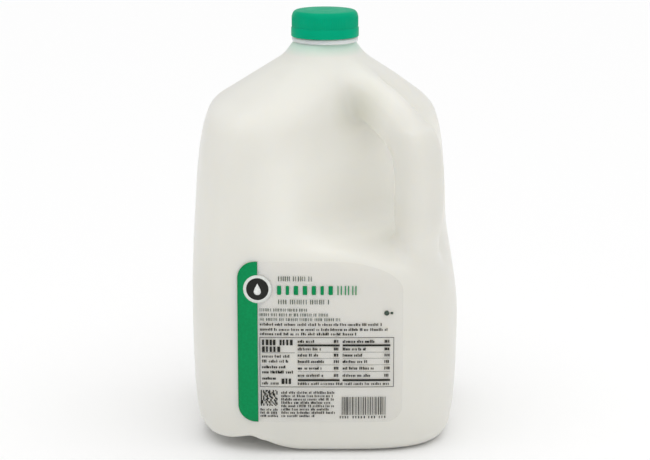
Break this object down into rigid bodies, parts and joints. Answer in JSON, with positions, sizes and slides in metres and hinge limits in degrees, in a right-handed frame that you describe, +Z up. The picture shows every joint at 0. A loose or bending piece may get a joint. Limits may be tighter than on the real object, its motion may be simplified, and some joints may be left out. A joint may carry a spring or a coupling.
{
  "type": "milk jug",
  "caption": "Blow-moulded plastic milk jug, filled and shut, with a handle in one corner, a screw cap and a label on its front.",
  "frame": {"origin": "on the floor, under the middle of the body", "axes": "+Z up through the cap, -Y is the label side, and the handle stands in the corner between +X and -Y"},
  "size_m": [0.1584, 0.159, 0.2525],
  "materials": {
    "milky_plastic": "translucent high-density polyethylene with milk behind it, satin, faintly uneven",
    "cap_plastic": "opaque green moulded polyethylene with a soft gloss",
    "label_film": "thin clear film with a green band and plain dark print shapes"
  },
  "bodies": {
    "root": {"jug": "milky_plastic", "cap": "cap_plastic", "label": "label_film"}
  },
  "joints": []
}
